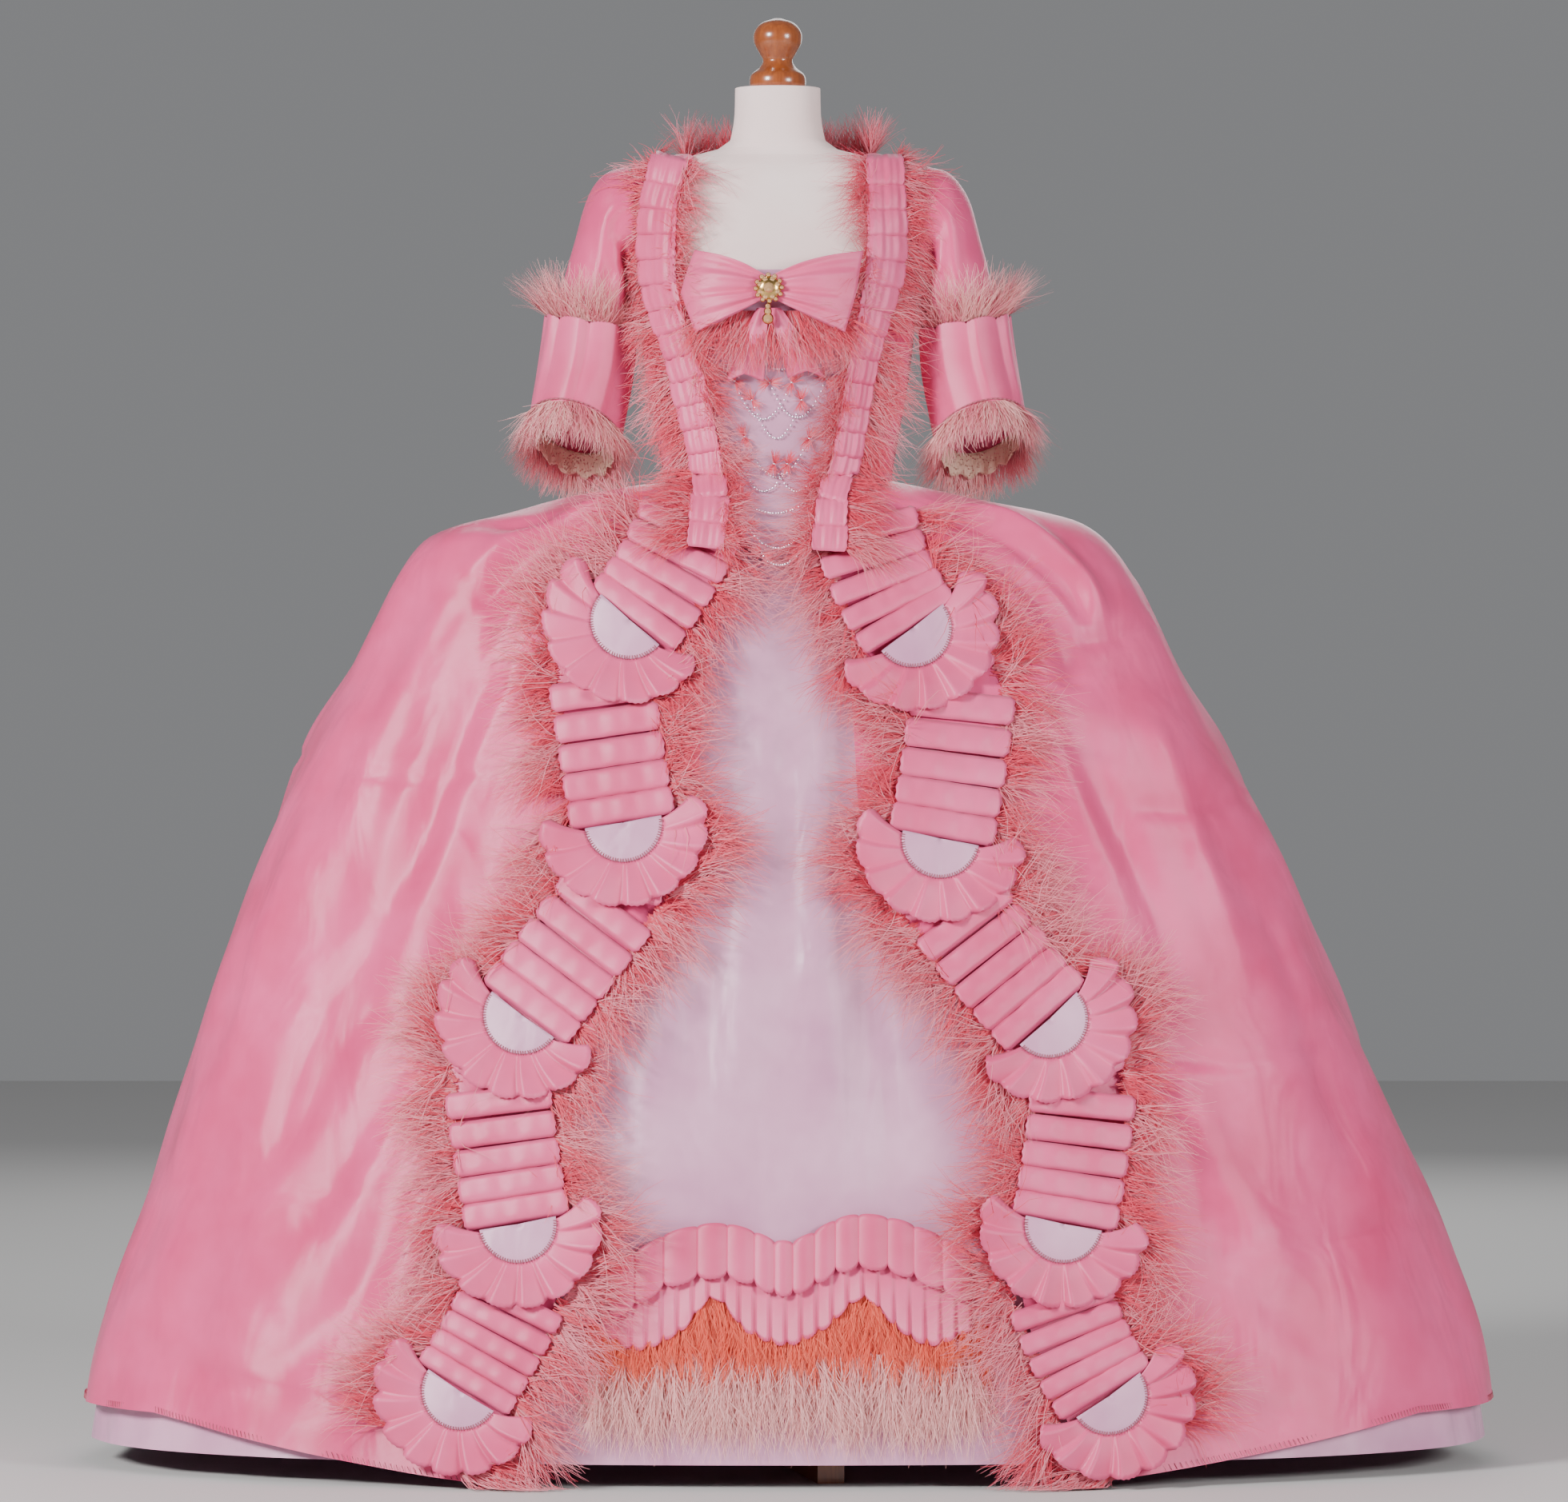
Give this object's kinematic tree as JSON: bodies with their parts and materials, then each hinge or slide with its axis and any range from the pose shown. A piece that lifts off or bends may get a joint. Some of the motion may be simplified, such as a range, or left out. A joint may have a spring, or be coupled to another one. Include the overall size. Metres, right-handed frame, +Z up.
{
  "type": "robe a la francaise on a limbless dress form",
  "caption": "Open-fronted gown over wide side hoops with a petticoat, sack back, cuffed sleeves and feather-edged serpentine trims, standing on a turned-foot dress form.",
  "frame": {"origin": "on the floor, under the middle of the whole object's bounding box", "axes": "+Z up, +X to the viewer's right of the front view, the front faces -Y"},
  "size_m": [1.5668, 0.953, 1.6035],
  "materials": {
    "pink_satin": "glossy satin",
    "pale_satin": "glossy satin",
    "form_cloth": "matte woven cover",
    "wood": "varnished",
    "coral_feather": "soft feather",
    "pale_feather": "soft feather",
    "lace": "fine lace",
    "gold": "polished with crystals"
  },
  "bodies": {
    "root": {"bodice_back": "pink_satin", "bodice_band_left": "pink_satin", "bodice_band_right": "pink_satin", "bodice_fringe_left": "coral_feather", "bodice_fringe_right": "coral_feather", "bodice_front_left": "pink_satin", "bodice_front_right": "pink_satin", "bow_fringe": "coral_feather", "bow_left": "pink_satin", "bow_right": "pink_satin", "bow_tail_left": "pink_satin", "bow_tail_right": "pink_satin", "brooch": "gold", "cuff_hem_fringe_left": "pale_feather", "cuff_hem_fringe_right": "pale_feather", "cuff_left": "pink_satin", "cuff_right": "pink_satin", "cuff_top_fringe_left": "pale_feather", "cuff_top_fringe_right": "pale_feather", "fan_left_1": "pink_satin", "fan_left_2": "pink_satin", "fan_left_3": "pink_satin", "fan_left_4": "pink_satin", "fan_left_5": "pink_satin", "fan_right_1": "pink_satin", "fan_right_2": "pink_satin", "fan_right_3": "pink_satin", "fan_right_4": "pink_satin", "fan_right_5": "pink_satin", "form_finial": "wood", "form_torso": "form_cloth", "halfmoon_left_1": "pale_satin", "halfmoon_left_2": "pale_satin", "halfmoon_left_3": "pale_satin", "halfmoon_left_4": "pale_satin", "halfmoon_left_5": "pale_satin", "halfmoon_right_1": "pale_satin", "halfmoon_right_2": "pale_satin", "halfmoon_right_3": "pale_satin", "halfmoon_right_4": "pale_satin", "halfmoon_right_5": "pale_satin", "lace_left": "lace", "lace_right": "lace", "neck_fringe": "coral_feather", "petticoat": "pale_satin", "petticoat_fringe": "pale_feather", "petticoat_ruffle": "pink_satin", "petticoat_tabs": "pink_satin", "robe_skirt_left": "pink_satin", "robe_skirt_right": "pink_satin", "sack_back": "pink_satin", "skirt_band_left": "pink_satin", "skirt_band_right": "pink_satin", "skirt_fringe_left": "coral_feather", "skirt_fringe_right": "coral_feather", "sleeve_left": "pink_satin", "sleeve_right": "pink_satin", "stand_base": "wood", "stand_pole": "wood", "stomacher": "pale_satin"}
  },
  "joints": []
}
